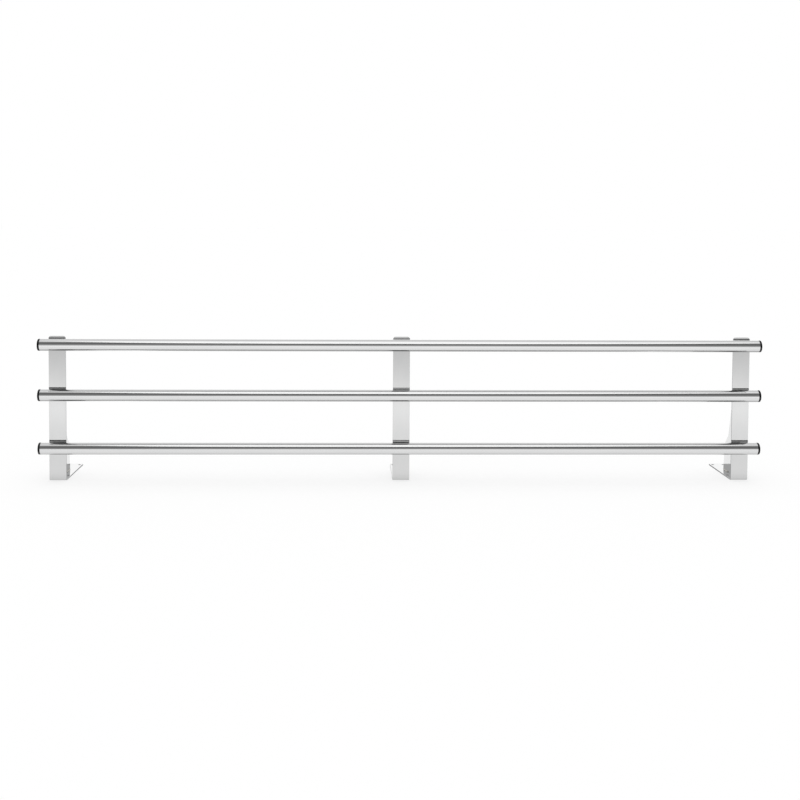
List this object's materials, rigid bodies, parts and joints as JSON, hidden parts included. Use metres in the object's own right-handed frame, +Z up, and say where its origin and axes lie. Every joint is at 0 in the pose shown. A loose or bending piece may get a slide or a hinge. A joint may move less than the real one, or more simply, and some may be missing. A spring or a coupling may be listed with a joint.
{
  "type": "towel rack",
  "caption": "Unheated tubular rack for towels: round stainless bars with plastic end caps, screwed from behind to upright brackets with web-stiffened feet.",
  "frame": {"origin": "middle of the centre bracket's foot, on its underside, the face that is fastened down", "axes": "+X along the bars to the right seen from the front, +Y from the bars back over the feet, +Z up the brackets"},
  "size_m": [1.537, 0.1763, 0.3095],
  "materials": {
    "tube_steel": "bright polished stainless tube",
    "plate_steel": "bright polished stainless sheet",
    "cap_plastic": "fine satin black moulding",
    "fixing_steel": "plain stainless fixings"
  },
  "bodies": {
    "root": {"tube_bottom": "tube_steel", "end_cap_bottom_left": "cap_plastic", "end_cap_bottom_right": "cap_plastic", "tube_middle": "tube_steel", "end_cap_middle_left": "cap_plastic", "end_cap_middle_right": "cap_plastic", "tube_top": "tube_steel", "end_cap_top_left": "cap_plastic", "end_cap_top_right": "cap_plastic", "bracket_left": "plate_steel", "web_left": "plate_steel", "screw_bottom_left_a": "fixing_steel", "rivet_nut_bottom_left_a": "fixing_steel", "screw_bottom_left_b": "fixing_steel", "rivet_nut_bottom_left_b": "fixing_steel", "screw_middle_left_a": "fixing_steel", "rivet_nut_middle_left_a": "fixing_steel", "screw_middle_left_b": "fixing_steel", "rivet_nut_middle_left_b": "fixing_steel", "screw_top_left_a": "fixing_steel", "rivet_nut_top_left_a": "fixing_steel", "screw_top_left_b": "fixing_steel", "rivet_nut_top_left_b": "fixing_steel", "bracket_centre": "plate_steel", "web_centre": "plate_steel", "screw_bottom_centre_a": "fixing_steel", "rivet_nut_bottom_centre_a": "fixing_steel", "screw_bottom_centre_b": "fixing_steel", "rivet_nut_bottom_centre_b": "fixing_steel", "screw_middle_centre_a": "fixing_steel", "rivet_nut_middle_centre_a": "fixing_steel", "screw_middle_centre_b": "fixing_steel", "rivet_nut_middle_centre_b": "fixing_steel", "screw_top_centre_a": "fixing_steel", "rivet_nut_top_centre_a": "fixing_steel", "screw_top_centre_b": "fixing_steel", "rivet_nut_top_centre_b": "fixing_steel", "bracket_right": "plate_steel", "web_right": "plate_steel", "screw_bottom_right_a": "fixing_steel", "rivet_nut_bottom_right_a": "fixing_steel", "screw_bottom_right_b": "fixing_steel", "rivet_nut_bottom_right_b": "fixing_steel", "screw_middle_right_a": "fixing_steel", "rivet_nut_middle_right_a": "fixing_steel", "screw_middle_right_b": "fixing_steel", "rivet_nut_middle_right_b": "fixing_steel", "screw_top_right_a": "fixing_steel", "rivet_nut_top_right_a": "fixing_steel", "screw_top_right_b": "fixing_steel", "rivet_nut_top_right_b": "fixing_steel"}
  },
  "joints": []
}
